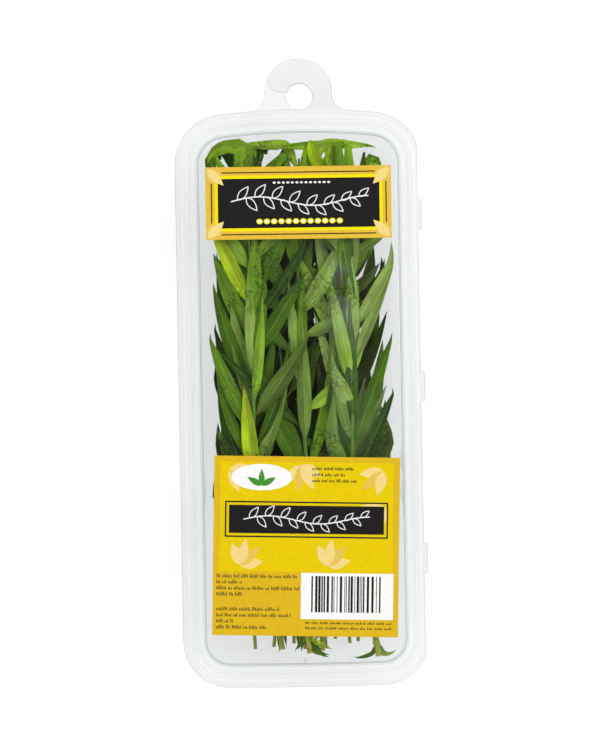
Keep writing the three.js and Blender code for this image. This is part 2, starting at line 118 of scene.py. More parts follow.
def table_material():
    """Matt white acrylic, lit from below, with the faintest unevenness in its tone."""
    material, tree, place = new_material("table_white")
    tone = blend(noise(place, 3.0, 2.0), TABLE_GREY, TABLE_WHITE)
    show(add_node(tree, "BsdfPrincipled", {
        "Base Color": tone, "Roughness": 0.75, "Specular IOR Level": 0.2,
        "Emission Color": (1, 1, 1, 1), "Emission Strength": TABLE_GLOW,
    }))
    return material


side = np.array([-TABLE_HALF, TABLE_HALF])
corner_x, corner_y = np.meshgrid(side, side)
corners = np.stack([corner_x, corner_y, np.full((2, 2), TABLE_TOP)], -1).reshape(-1, 3)
table = new_piece("table_top", corners, [[0, 1, 3, 2]], [table_material()])

EYE_HEIGHT = 950.0  # above the table
SHARP_HEIGHT, SEEN_LENGTH = 20.35, 274.5  # at the flange's height the frame's long side takes in this much
SENSOR = 36.0
CAMERA_AT = (-0.58, -0.82)
CAMERA_TURN = -1.06  # degrees

camera_data = bpy.data.cameras.new("camera")
camera_data.sensor_width = SENSOR
camera_data.lens = SENSOR * (EYE_HEIGHT - SHARP_HEIGHT) / SEEN_LENGTH
camera = bpy.data.objects.new("camera", camera_data)
camera.location = (CAMERA_AT[0] * MM, CAMERA_AT[1] * MM, EYE_HEIGHT * MM)
camera.rotation_euler = (0, 0, radians(CAMERA_TURN))
scene.collection.objects.link(camera)
scene.camera = camera

TENT_STRENGTH, TENT_TOP = 1.15, 0.03  # the tent is dim straight above, so that the lid mirrors no glare
TOP_FADE = (0.86, 0.95)  # the upward part of a direction where the dim top begins and is full
KEY_AT, KEY_SIZE, KEY_WATTS = (0.85, 0.55, 1.25), 1.0, 10.0  # metres and watts

world = bpy.data.worlds.new("tent")
world.use_nodes = True
tent = world.node_tree
heading = add_node(tent, "TexCoord").outputs["Generated"]
upward = add_node(tent, "SeparateXYZ", {"Vector": heading}).outputs["Z"]
glow = ranged(upward, *TOP_FADE, TENT_STRENGTH, TENT_TOP, "SMOOTHSTEP")
tent.links.new(glow, tent.nodes["Background"].inputs["Strength"])
tent.nodes["Background"].inputs["Color"].default_value = (1, 1, 1, 1)
scene.world = world
key_data = bpy.data.lights.new("key_lamp", "AREA")
key_data.size = KEY_SIZE
key_data.energy = KEY_WATTS
key = bpy.data.objects.new("key_lamp", key_data)
key.location = KEY_AT
key_tilt = atan2(hypot(*KEY_AT[:2]), KEY_AT[2])
key.rotation_euler = (key_tilt, 0, atan2(KEY_AT[1], KEY_AT[0]) + pi / 2)  # it faces the pack
scene.collection.objects.link(key)
scene.view_settings.view_transform = "Standard"
scene.cycles.transparent_max_bounces = 24

# ---- The tray ----
# The deep tray is one clear polyester sheet, half a millimetre thick, drawn hot into a mould. A raised
# bead runs round its flange to lock the lid, and a holed tab at the top hangs the pack on a peg.

SHEET = 0.5
SEAM_GAP = 0.3
TRAY_HEIGHT = 20.35
LID_HEIGHT = 26.0
HALF_WIDTH = 45.0
FLANGE_BOTTOM, FLANGE_TOP = -115.0, 96.5
TOP_CORNER, TOP_BOW = 18.5, 265.0  # radii of the upper corners and of the bowed upper end
BOTTOM_CORNER, BOTTOM_BOW = 17.0, 1400.0
RIGHT_TRIM = 43.6  # the right edge is trimmed back to here between the hinge strips
CORNER_STEPS, END_STEPS, FILLET_STEPS, ROUND_STEPS, HINGE_STEPS = 18, 16, 10, 48, 4


def flange_end(corner, bow, tip, hand):
    """One end of the outline: the centres of its corners and of its bow, and how far round the bow runs
    before it meets the corners."""
    corner_x, reach, bow_y = HALF_WIDTH - corner, bow - corner, tip - hand * bow
    return {
        "corner": corner, "bow": bow, "hand": hand, "corner_x": corner_x, "bow_y": bow_y,
        "corner_y": bow_y + hand * sqrt(reach**2 - corner_x**2), "lean": asin(corner_x / reach),
    }


UPPER_END = flange_end(TOP_CORNER, TOP_BOW, FLANGE_TOP, 1)
LOWER_END = flange_end(BOTTOM_CORNER, BOTTOM_BOW, FLANGE_BOTTOM, -1)

TAB_X, TAB_Y, TAB_RADIUS, TAB_FILLET = 0.6, 102.6, 12.4, 6.0
TAB_ROOM = 0.3  # beside its roots
HOLE_X, HOLE_Y, HOLE_RADIUS = 1.0, 101.0, 4.8
FLANGE_LINE = UPPER_END["bow_y"] + sqrt(TOP_BOW**2 - (TAB_RADIUS + TAB_FILLET) ** 2)
FILLET_Y = FLANGE_LINE + TAB_FILLET
FILLET_REACH = sqrt((TAB_RADIUS + TAB_FILLET) ** 2 - (TAB_Y - FILLET_Y) ** 2)
FILLET_TILT = atan2(TAB_Y - FILLET_Y, FILLET_REACH)

HINGE_MIDDLE, HINGE_SPACING, HINGE_LENGTH, HINGE_ROUND = -5.8, 63.0, 11.0, 0.6

BEAD_OUTER, BEAD_INNER, BEAD_FLANK, BEAD_HEIGHT = 2.2, 4.6, 0.8, 1.0
SIDE_STEP = 0.3  # sideways from one side of the sheet to the other, on a bead's flank
WALL_TOP, WALL_FOOT, FLOOR_INSET = 8.6, 10.45, 14.0
CUT_SLOPE = 0.14  # the die cuts the sheet a little aslant, so that its edge shows from above
WELD = 1e-7


def arc(x, y, radius, start, end, steps):
    """Points at even turns along an arc: centre plus radius times cosine and sine of the angle."""
    angle = np.linspace(start, end, steps + 1)
    return np.stack([x + radius * np.cos(angle), y + radius * np.sin(angle)], -1)


RIGHT_FILLET = arc(
    TAB_X + FILLET_REACH, FILLET_Y, TAB_FILLET, -pi / 2, -pi - FILLET_TILT, FILLET_STEPS,
)


def pack_outline(inset):
    """The flange's outline pulled in by the inset. Each corner and each bowed end is an arc about its own
    fixed centre, whose radius loses the inset, and the right side is trimmed at a straight line."""
    arcs, quarter = [], pi / 2
    for end, middle in ((UPPER_END, quarter), (LOWER_END, 3 * quarter)):
        corner, bow, lean = end["corner"] - inset, end["bow"] - inset, end["lean"]
        near, far = end["hand"] * end["corner_x"], -end["hand"] * end["corner_x"]
        arcs += [
            arc(near, end["corner_y"], corner, middle - quarter, middle - lean, CORNER_STEPS),
            arc(0, end["bow_y"], bow, middle - lean, middle + lean, END_STEPS)[1:-1],
            arc(far, end["corner_y"], corner, middle + lean, middle + quarter, CORNER_STEPS),
        ]
    ring = np.concatenate(arcs)
    ring[:, 0] = np.minimum(ring[:, 0], RIGHT_TRIM)
    return ring


def bead_line(room, foot):
    """The corners of a bead's section, from its inner foot over its crest to its outer foot, wider than
    the tray's bead by the room on either side."""
    inner, outer, crest = BEAD_INNER + room, BEAD_OUTER - room, foot + BEAD_HEIGHT
    return [(inner, foot), (inner - BEAD_FLANK, crest), (outer + BEAD_FLANK, crest), (outer, foot)]


def eased(section, radii, bend_shades, steps=6):
    """A section line with its corners rounded. Each corner point becomes a curve of the second degree from a
    point one radius before it to a point one radius after it, with the corner as its pull. The third column
    is the painted shade of the bend there: its own strength in the middle of the bend, and 0 at its ends."""
    section = np.asarray(section, float)
    before, here, after = section[:-2], section[1:-1], section[2:]
    length_in = np.linalg.norm(before - here, axis=1)
    length_out = np.linalg.norm(after - here, axis=1)
    reach = np.minimum(np.asarray(radii, float), 0.45 * np.minimum(length_in, length_out))
    start = here + (before - here) * (reach / length_in)[:, None]
    end = here + (after - here) * (reach / length_out)[:, None]
    t = np.linspace(0, 1, steps + 1)[None, :, None]
    bend = (1 - t) ** 2 * start[:, None] + 2 * t * (1 - t) * here[:, None] + t**2 * end[:, None]
    dark = np.asarray(bend_shades, float)[:, None, None] * np.sin(pi * t)
    bend = np.concatenate([bend, dark], -1).reshape(-1, 3)
    return np.concatenate([[[*section[0], 0]], bend, [[*section[-1], 0]]])


def lifted(spots, z):
    """Flat points, all raised to one height."""
    return np.column_stack([spots, np.full(len(spots), z)])


def band_faces(rows, columns, first=0):
    """Quads between neighbouring rows of a grid whose rows close on themselves."""
    row, column = np.meshgrid(np.arange(rows - 1), np.arange(columns), indexing="ij")
    here = first + row * columns + column
    beside = first + row * columns + (column + 1) % columns
    return np.stack([here, beside, beside + columns, here + columns], -1).reshape(-1, 4)


def inside(loop, spots):
    """Which spots lie inside a closed loop: a line from the spot to the right crosses it an odd number
    of times."""
    a, b = loop, np.roll(loop, -1, axis=0)
    x, y = spots.T[:, :, None]
    straddles = (a[:, 1] > y) != (b[:, 1] > y)
    rise = np.where(b[:, 1] == a[:, 1], 1.0, b[:, 1] - a[:, 1])
    cross = a[:, 0] + (y - a[:, 1]) * ((b[:, 0] - a[:, 0]) / rise)
    return (straddles & (x < cross)).sum(1) % 2 == 1


def flat_sheet(outer, holes, z):
    """The flat triangles between an outer loop and its holes, all at one height."""
    loops = [outer, *holes]
    spots = np.concatenate(loops)
    edges, first = [], 0
    for loop in loops:
        number = np.arange(len(loop))
        edges += np.stack([first + number, first + (number + 1) % len(loop)], -1).tolist()
        first += len(loop)
    found = delaunay_2d_cdt(spots.tolist(), edges, [], 0, WELD)
    spots, faces = np.array([list(p) for p in found[0]]), np.array([list(f) for f in found[2]])
    middle = spots[faces].mean(1)
    kept = inside(outer, middle)
    for hole in holes:
        kept &= ~inside(hole, middle)
    return lifted(spots, z), faces[kept]


def with_strips_and_tab(tab):
    """The flange's outer edge, with the three hinge strips on the right and the tab let in at the top."""
    ring = pack_outline(0)
    at_top = ring[:, 1] > FLANGE_LINE - 1
    by_tab = (ring[:, 0] < tab[0, 0] + TAB_ROOM) & (ring[:, 0] > tab[-1, 0] - TAB_ROOM)
    first, last = np.flatnonzero(at_top & by_tab)[[0, -1]]
    strips = []
    for place in (-1, 0, 1):
        middle = HINGE_MIDDLE + place * HINGE_SPACING
        low, high = middle - HINGE_LENGTH / 2, middle + HINGE_LENGTH / 2
        inner_x = HALF_WIDTH - HINGE_ROUND
        strips += [
            [[RIGHT_TRIM, low]],
            arc(inner_x, low + HINGE_ROUND, HINGE_ROUND, -pi / 2, 0, HINGE_STEPS),
            arc(inner_x, high - HINGE_ROUND, HINGE_ROUND, 0, pi / 2, HINGE_STEPS),
            [[RIGHT_TRIM, high]],
        ]
    return np.concatenate([ring[:first], tab, ring[last + 1 :], *strips])


def tray_tab():
    """The tab's edge from its right root to its left one: a hollow fillet, the round of the disc, and a
    hollow fillet again."""
    return np.concatenate([
        RIGHT_FILLET,
        arc(TAB_X, TAB_Y, TAB_RADIUS, -FILLET_TILT, pi + FILLET_TILT, ROUND_STEPS)[1:-1],
        arc(TAB_X - FILLET_REACH, FILLET_Y, TAB_FILLET, FILLET_TILT, -pi / 2, FILLET_STEPS),
    ])


def left_of(run):
    """The steps of length one to the left of some directions: each direction turned a quarter."""
    run = run / np.linalg.norm(run, axis=1)[:, None]
    return np.column_stack([-run[:, 1], run[:, 0]])


def trimmed_loop(loop):
    """A closed loop moved a hair to its left: each point shifts square to the line through its neighbours."""
    return loop + CUT_SLOPE * left_of(np.roll(loop, -1, axis=0) - np.roll(loop, 1, axis=0))


def clear_shell(name, under, over, rim, holes, levels, materials):
    """A formed sheet as one closed skin. Its underside and its upper side are lofted rings, closed in the
    middle by a flat floor and joined outside by two flat bands and the cut edge of the rim."""
    points, faces, marks, bend_shades, count = [], [], [], [], 0

    def add(new_points, new_faces, mark, dark=0.0):
        nonlocal count
        points.append(np.asarray(new_points, float).reshape(-1, 3))
        faces.extend((np.asarray(new_faces) + count).tolist())
        marks.extend([mark] * len(new_faces))
        bend_shades.append(np.broadcast_to(dark, len(points[-1])))
        count += len(points[-1])

    for section in (under, over):
        rings = np.stack([lifted(pack_outline(inset), z) for inset, z in section[:, :2]])
        rows, columns = rings.shape[:2]
        add(rings, band_faces(rows, columns), 0, np.repeat(section[:, 2], columns))
        closing = 0 if section is under else rows - 1
        add(rings[closing], [np.arange(columns)], 0)
    trimmed = [trimmed_loop(loop) for loop in (rim, *holes)]
    for section, at, level, loops in ((under, -1, levels[0], [rim, *holes]), (over, 0, levels[1], trimmed)):
        add(*flat_sheet(loops[0], [pack_outline(section[at][0]), *loops[1:]], level), 0)
    for pair in zip((rim, *holes), trimmed):
        edge = np.stack([lifted(loop, z) for loop, z in zip(pair, levels)])
        add(edge, band_faces(2, len(pair[0])), 1)
    piece = new_piece(name, np.concatenate(points), faces, materials, marks=marks)
    # Each point keeps the painted shade of its bend.
    bend_shade = piece.data.attributes.new("bend_shade", "FLOAT", "POINT")
    bend_shade.data.foreach_set("value", np.concatenate(bend_shades).astype(np.float32))
    skin = bmesh.new()
    skin.from_mesh(piece.data)
    bmesh.ops.remove_doubles(skin, verts=skin.verts, dist=WELD)
    bmesh.ops.recalc_face_normals(skin, faces=skin.faces)
    skin.to_mesh(piece.data)
    skin.free()
    piece.data.set_sharp_from_angle(angle=radians(SHARP_BEND))
    return piece


def reckon(operation, *values):
    """The result of a sum on values."""
    return add_node(values[0], "Math", dict(enumerate(values)), operation=operation).outputs[0]


def times(product, *values):
    """The product of all the values."""
    for value in values:
        product = reckon("MULTIPLY", product, value)
    return product


def raised(height, strength, depth):
    """The normal of a surface that stands up by the height, as deep as the depth in metres says."""
    relief = {"Height": height, "Strength": strength, "Distance": depth}
    return add_node(height, "Bump", relief).outputs["Normal"]


# The colour towards which the painted shade darkens the sheet at a bend.
BEND_SHADE_TINT = (0.22, 0.26, 0.25, 1)
POCKET_ENDS = (0.0185, 0.0195)  # metres: between these heights the drawn pocket turns into the flange
TAB_BEGINS = (0.0960, 0.0985)  # metres along the pack


def clear_plastic(name, passes, veil, deep=1.0, on_tab=1.0):
    """Clear sheet: light passes straight through, and a share is mirrored, rising with the fifth power of the
    slant. Sharp bends are darker, a painted shade carried by a mark on the points. The veil is a pale bloom
    mixed over it; on the lid it also holds a painted reflection. Below the flange the sheet passes a share of
    what it passes on the flange, a painted shade on the pocket's wall and floor, and out on the tab it passes
    a share too."""
    material, tree, place = new_material(name)
    wave = raised(noise(place, 55.0, 1.5), 0.2, 0.0004)
    slant = add_node(tree, "LayerWeight", {"Blend": 0.5}).outputs["Facing"]
    share = ranged(reckon("POWER", slant, 5.0), 0.0, 1.0, 0.022, 0.55)
    bend_shade = add_node(tree, "Attribute", attribute_name="bend_shade").outputs["Fac"]
    axes = add_node(tree, "SeparateXYZ", {"Vector": place}).outputs
    # Painted shade: below the flange the pocket's wall and floor pass less light.
    drawn = ranged(axes["Z"], *POCKET_ENDS, deep, 1.0)
    tabbed = ranged(axes["Y"], *TAB_BEGINS, 1.0, on_tab)
    kept = {0: passes, 1: times(drawn, tabbed)}
    passed = add_node(tree, "VectorMath", kept, operation="MULTIPLY").outputs[0]
    through = add_node(tree, "BsdfTransparent", {"Color": blend(bend_shade, passed, BEND_SHADE_TINT)})
    mirror = add_node(tree, "BsdfGlossy", {"Color": (0.95, 0.96, 0.96, 1), "Roughness": 0.08, "Normal": wave})
    glass = add_node(tree, "MixShader", {0: share, 1: through.outputs[0], 2: mirror.outputs[0]})
    bloom = add_node(tree, "BsdfPrincipled", {"Base Color": (0.55, 0.58, 0.58, 1), "Roughness": 0.4})
    show(add_node(tree, "MixShader", {0: veil(place), 1: glass.outputs[0], 2: bloom.outputs[0]}))
    return material


def even_veil(place):
    """A trace of haze that comes and goes over a few centimetres."""
    return ranged(noise(place, 28.0, 3.0), 0.3, 0.7, 0.0, 0.006)


# The cut edge passes only about half the light: a painted shade for the dark line at the sheet's edge.
shaded_cut_edge = clear_plastic("cut_sheet_edge_shade", (0.52, 0.55, 0.56), even_veil)
tray_plastic = clear_plastic("tray_clear_plastic", (0.974, 0.978, 0.979), even_veil, deep=0.976, on_tab=0.981)

FLANGE_UNDER = TRAY_HEIGHT - SHEET
# The third list of each section is the painted shade at its bends, darkest at the top of the pocket's wall.
tray_under = eased(
    [
        (FLOOR_INSET, 0), (WALL_FOOT + 0.45, 0), (WALL_FOOT - 0.45, 0.7),
        (WALL_TOP - SHEET, TRAY_HEIGHT - 1.45), (WALL_TOP - 2 * SHEET, FLANGE_UNDER),
        *bead_line(SIDE_STEP, FLANGE_UNDER), (BEAD_OUTER - 2 * SIDE_STEP, FLANGE_UNDER),
    ],
    [1.2, 1.2, 0.8, 0.8, 0.25, 0.25, 0.25, 0.25],
    [0.0, 0.04, 0.6, 0.2, 0.03, 0.0, 0.0, 0.03],
)
tray_over = eased(
    [
        (BEAD_OUTER - SIDE_STEP, TRAY_HEIGHT), *bead_line(0, TRAY_HEIGHT)[::-1],
        (WALL_TOP - 0.4, TRAY_HEIGHT), (WALL_TOP, TRAY_HEIGHT - 0.65), (WALL_FOOT, 1.2),
        (WALL_FOOT + 0.85, SHEET), (FLOOR_INSET, SHEET),
    ],
    [0.25, 0.25, 0.25, 0.25, 0.8, 0.8, 1.2, 1.2],
    [0.03, 0.0, 0.0, 0.03, 0.25, 1.0, 0.04, 0.0],
)
hang_hole = arc(HOLE_X, HOLE_Y, HOLE_RADIUS, 2 * pi, 0, ROUND_STEPS)[:-1]
tray = clear_shell(
    "tray_shell", tray_under, tray_over, with_strips_and_tab(tray_tab()), [hang_hole],
    (FLANGE_UNDER, TRAY_HEIGHT), [tray_plastic, shaded_cut_edge],
)
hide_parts("tray")
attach(tray, "tray")

# ---- The lid ----
# The shallow lid is a second sheet of the same clear plastic. Its flange drops over the tray's bead, its
# flat panel carries the labels, and its tab ends in a hook that a nail lifts.

HOOK_RADIUS, HOOK_Y = 4.4, 102.7
SLACK = 0.15  # sideways room over the tray's bead
LID_UNDER = TRAY_HEIGHT + SEAM_GAP
LID_TOP = LID_UNDER + SHEET
PANEL_UNDER = LID_HEIGHT - SHEET
DOME_FOOT, DOME_TOP, DOME_PANEL = 6.75, 8.6, 9.3
DOME_STEP = 0.55  # from one side of the sheet to the other, on the dome's slope
REFLECTION_ACROSS = (0.008, 0.014, 0.021, 0.027)  # metres: where the painted reflection's band begins, is full, falls and ends
REFLECTION_ALONG = (-0.034, -0.018, 0.034, 0.052)
REFLECTION_STRENGTH = 0.07


def lid_tab():
    """The lid's tab from its right root: the fillet and disc as on the tray, a round nose, a short edge
    into the hole, and the hole's own round back down to the flange."""
    rise = HOOK_Y + HOOK_RADIUS - TAB_Y
    nose_x = -sqrt((TAB_RADIUS - HOOK_RADIUS) ** 2 - rise**2)
    nose = atan2(rise, nose_x)
    into_hole = pi - asin((HOOK_Y - HOLE_Y) / HOLE_RADIUS)
    out_of_hole = -pi / 2 - acos((HOLE_Y - FLANGE_TOP) / HOLE_RADIUS)
    return np.concatenate([
        RIGHT_FILLET,
        arc(TAB_X, TAB_Y, TAB_RADIUS, -FILLET_TILT, nose, 34)[1:-1],
        arc(TAB_X + nose_x, HOOK_Y + HOOK_RADIUS, HOOK_RADIUS, nose, 3 * pi / 2, 12),
        arc(HOLE_X, HOLE_Y, HOLE_RADIUS, into_hole, out_of_hole, 36),
    ])


def smooth_step(value, low, high):
    """Rises smoothly from 0 at the low value to 1 at the high one."""
    return ranged(value, low, high, 0.0, 1.0, "SMOOTHSTEP")


def soft_band(value, begins, full, falls, ends):
    """Rises smoothly from 0 to 1, stays there, and falls smoothly back to 0."""
    return times(smooth_step(value, begins, full), smooth_step(value, ends, falls))


def lid_reflection_veil(place):
    """A painted reflection on the lid: a pale upright soft band right of the middle, broken up by noise."""
    axes = add_node(place, "SeparateXYZ", {"Vector": place}).outputs
    across, along = soft_band(axes["X"], *REFLECTION_ACROSS), soft_band(axes["Y"], *REFLECTION_ALONG)
    broken = smooth_step(noise(place, 60.0, 3.0), 0.32, 0.7)
    return reckon("MULTIPLY_ADD", times(across, along, broken), REFLECTION_STRENGTH, even_veil(place))


# The lid's veil holds a painted reflection of a broad light as well as the faint haze.
lid_plastic = clear_plastic("lid_clear_plastic", (0.981, 0.984, 0.985), lid_reflection_veil)
lid_under = eased(
    [
        (FLOOR_INSET, PANEL_UNDER), (DOME_PANEL, PANEL_UNDER), (DOME_TOP, PANEL_UNDER - 0.5),
        (DOME_FOOT, LID_UNDER + 0.35), (DOME_FOOT - 0.45, LID_UNDER),
        *bead_line(SLACK, LID_UNDER), (BEAD_OUTER - SLACK - SIDE_STEP, LID_UNDER),
    ],
    [0.8, 0.8, 0.5, 0.5, 0.2, 0.2, 0.2, 0.2],
    [0.0, 0.04, 0.03, 0.0, 0.02, 0.0, 0.0, 0.02],
)
lid_over = eased(
    [
        (BEAD_OUTER - SLACK - 2 * SIDE_STEP, LID_TOP), *bead_line(SLACK + SIDE_STEP, LID_TOP)[::-1],
        (DOME_FOOT - DOME_STEP - 0.4, LID_TOP), (DOME_FOOT - DOME_STEP, LID_TOP + 0.4),
        (DOME_TOP - DOME_STEP, LID_HEIGHT - DOME_STEP), (DOME_PANEL - SIDE_STEP, LID_HEIGHT),
        (FLOOR_INSET, LID_HEIGHT),
    ],
    [0.2, 0.2, 0.2, 0.2, 0.5, 0.5, 0.8, 0.8],
    [0.02, 0.0, 0.0, 0.02, 0.0, 0.03, 0.04, 0.0],
)
lid = clear_shell(
    "lid_shell", lid_under, lid_over, with_strips_and_tab(lid_tab()), [],
    (LID_UNDER, LID_TOP), [lid_plastic, shaded_cut_edge],
)
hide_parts("lid")
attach(lid, "lid")

# ---- The sprigs ----
# Eighteen cut sprigs of tarragon lie in the tray in thin layers, their cut ends to the bottom. Each is a
# slender stem with narrow, lance-shaped leaves grown from it by turns left and right.

PRESSED_LAYERS, LOOSE_LAYERS = 9, 3
BUNCH_BASE, BUNCH_GAP, BUNCH_SEED = 0.7, 0.25, 64
CROWN_RISE, CROWN_HALF_WIDTH, CROWN_HALF_LENGTH = 1.5, 37.0, 100.0
CROWN_SWELL, CROWN_WAVELENGTH = 0.2, 95.0
DIVIDER_SHIFT, DIVIDER_SLANT, DIVIDER_WAVE, DIVIDER_WAVELENGTH = 7, 0.1, 2.5, 140
PRESSED = {
    "thickness": 1.45, "leaves": 13, "levels": [0.42, 1.03], "strays": 0.05, "tips": (30, 64),
    "turn_back": (-0.7, -0.4), "over_stem": 0, "slim": 0.8, "cut_end": (-103, -98), "low_leaves": 0,
    "stem_radius": 0.66, "stem_height": 0.7,
}
LOOSE = {
    "thickness": 2.2, "leaves": 26, "levels": [0.5, 1.2, 1.85], "strays": 0.2, "tips": (64, 79),
    "turn_back": (-0.9, 0.2), "over_stem": 0.38, "slim": 0.67, "cut_end": (-104.5, -99), "low_leaves": 5,
    "stem_radius": 1.0, "stem_height": 0.85,
}
STEM_TIP_RADIUS, STEM_LENGTH = 0.38, 160.0
STEM_START, LANE_SHARE, LANE_REACHED = (3, 13), (0.38, 0.6), 0.35
LONE_SPREAD, LONE_SHIFT = 40, -4  # the lane of a stem that has its layer to itself
LEAF_STEPS, LEAF_SUNK, LEAST_LEAF = 16, 3.1, 18.0
LEAFY, LEAF_JITTER = (0.17, 0.98), 0.45  # the leafy part of a stem, and how unevenly the leaves stand on it
HALF_WIDTHS, LENGTHS = (3.1, 2.6), (50, 34)  # low and high on the stem
WALL_MARGIN, DIVIDER_MARGIN = 0.6, 0.3
STEER_REACH, STEER_SHARE, STEER_STRENGTH, STEER_MARGIN = 1.3, 0.7, 0.7, 0.4
LOOK_AHEAD, ALONG_WALL, OWN_SIDE = 3.0, 0.5, 0.35
OVER_STEM, STRAY_ANGLE, LONE_ANGLE, PAIR_ANGLE = (-18, 5), (40, 70), (18, 50), (18, 44)
LOW_LEAF = {
    "at": (0.02, 0.09), "angle": (130, 176), "length": (7, 12), "half_width": (0.6, 1.1),
    "turn_back": (-0.15, 0.1),
}
BLADE_THICK, EDGE_THICK, AROUND = 0.2, 0.05, 14
LEAST_BASE, LEAST_TIP, LEAST_REACH = 0.42, 0.03, 0.4  # half-widths
TIP_RISE = 0.4  # a leaf's tip lies over the bases of the later leaves
WAVE_HEIGHT, RIB_HEIGHT, RIB_WIDTH, LEAF_CLEARANCE = 0.13, 0.12, 0.14, 0.12
STEM_SIDES, STEM_RINGS, JOINT_SWELL, JOINT_LENGTH = 10, 70, 0.16, 0.006
TONES, YOUNG_SHARE, TURNED_SHARE = (0.3, 0.66), 0.07, 0.3


def seeded_draw(seed):
    """A row of even draws between two values, from a linear congruential generator."""
    state = [seed & 0xFFFFFFFF]

    def draw(low, high):
        state[0] = (state[0] * 1664525 + 1013904223) & 0xFFFFFFFF
        return low + (high - low) * state[0] / 4294967296

    return draw


def between(low, high, share):
    """The value a share of the way from low to high."""
    return low + (high - low) * share


def ease(value, low, high):
    """A smooth step from 0 at low to 1 at high."""
    share = np.clip((value - low) / (high - low), 0, 1)
    return share * share * (3 - 2 * share)


def inset_at(x, y):
    """How far a point lies inside the flange's outline."""
    across = abs(x)
    inset = HALF_WIDTH - across
    for end in (UPPER_END, LOWER_END):
        inset = min(inset, end["bow"] - hypot(x, y - end["bow_y"]))
        past = end["hand"] * (y - end["corner_y"])
        if across > end["corner_x"] and past > 0:
            inset = min(inset, end["corner"] - hypot(across - end["corner_x"], past))
    return inset


def crown(x, y):
    """The rise of the crowned bunch: a parabola across, a flat-topped curve along, and a slow swell."""
    middle_y = (FLANGE_TOP + FLANGE_BOTTOM) / 2
    across = np.maximum(0, 1 - (x / CROWN_HALF_WIDTH) ** 2)
    along = np.maximum(0, 1 - ((y - middle_y) / CROWN_HALF_LENGTH) ** 4)
    swell = 1 - CROWN_SWELL * (1 - np.cos(2 * pi * y / CROWN_WAVELENGTH))
    return CROWN_RISE * across * along * swell


def divider(layer, y):
    """The line that parts the two sprigs of a layer: a shift, a slant and a slow wave, which turn from one
    layer to the next."""
    wave = DIVIDER_WAVE * np.sin(2 * pi * (y / DIVIDER_WAVELENGTH + 0.37 * layer))
    return DIVIDER_SHIFT * sin(1.3 * layer) + DIVIDER_SLANT * cos(1.9 * layer) * y + wave


def kind_of(layer):
    """The layer's kind: pressed below, loose in the top three."""
    return PRESSED if layer < PRESSED_LAYERS else LOOSE


def layer_base(layer):
    """The height of a layer's underside."""
    below = min(layer, PRESSED_LAYERS)
    pressed, loose = PRESSED["thickness"] + BUNCH_GAP, LOOSE["thickness"] + BUNCH_GAP
    return BUNCH_BASE + below * pressed + (layer - below) * loose


def wall_inset(layer):
    """The inset of the pack's inner wall beside a layer."""
    low = layer_base(layer)
    high = low + kind_of(layer)["thickness"]
    if low > TRAY_HEIGHT + SEAM_GAP:
        climb = (high - TRAY_HEIGHT - SEAM_GAP) / (LID_HEIGHT - TRAY_HEIGHT - SEAM_GAP - SHEET)
        return between(DOME_FOOT, DOME_TOP, climb)
    return between(WALL_FOOT, WALL_TOP, low / TRAY_HEIGHT)


def stem_line(layer, side, draw):
    """A stem's course: from its cut end near the middle, up near the middle of its own lane."""
    cut_end = draw(*kind_of(layer)["cut_end"])
    tip = draw(*kind_of(layer)["tips"])
    start = draw(*STEM_START)
    share = draw(*LANE_SHARE)

    def at(v):
        y = between(cut_end, tip, v)
        parted = divider(layer, y)
        if side == 0:
            lane = LONE_SPREAD * (share - 0.5) + LONE_SHIFT
            return between(start, lane, ease(v, 0, 1)) + parted / 4, y
        lane = share * (HALF_WIDTH - wall_inset(layer) - 0.5 - side * parted)
        return parted + side * between(start, lane, ease(v, 0, LANE_REACHED)), y

    return at


def midrib(root, heading, turn_back, length, half_width, room, hand):
    """A leaf's course in even steps. It leaves the stem at a heading and eases back along it. Wherever a wall
    or a neighbour comes near, it is pushed up the slope of the free room and along the wall, to its own side
    if it meets the wall head on."""
    x, y = root
    turn, step = heading, length / LEAF_STEPS
    path = [(x, y, turn)]
    for _ in range(LEAF_STEPS):
        ahead = room(x + LOOK_AHEAD * sin(turn), y + LOOK_AHEAD * cos(turn))
        near = min(room(x, y), ahead) - half_width * STEER_SHARE
        slope_x = room(x + 0.5, y) - room(x - 0.5, y)
        slope_y = room(x, y + 0.5) - room(x, y - 0.5)
        closeness = min(max((STEER_REACH - near) / STEER_REACH, 0), 2)
        push = closeness * STEER_STRENGTH
        turn += turn_back / LEAF_STEPS * max(1 - closeness, 0)
        along = cos(turn) * slope_x - sin(turn) * slope_y
        sense = ALONG_WALL * (-1 if along - OWN_SIDE * hand * slope_y < 0 else 1)
        step_x = sin(turn) + push * (slope_x - sense * slope_y)
        step_y = cos(turn) + push * (slope_y + sense * slope_x)
        turn = atan2(step_x, step_y)
        lack = max(0, STEER_MARGIN - room(x + step * sin(turn), y + step * cos(turn)))
        x += step * sin(turn) + lack * slope_x
        y += step * cos(turn) + lack * slope_y
        path.append((x, y, turn))
    return np.array(path)


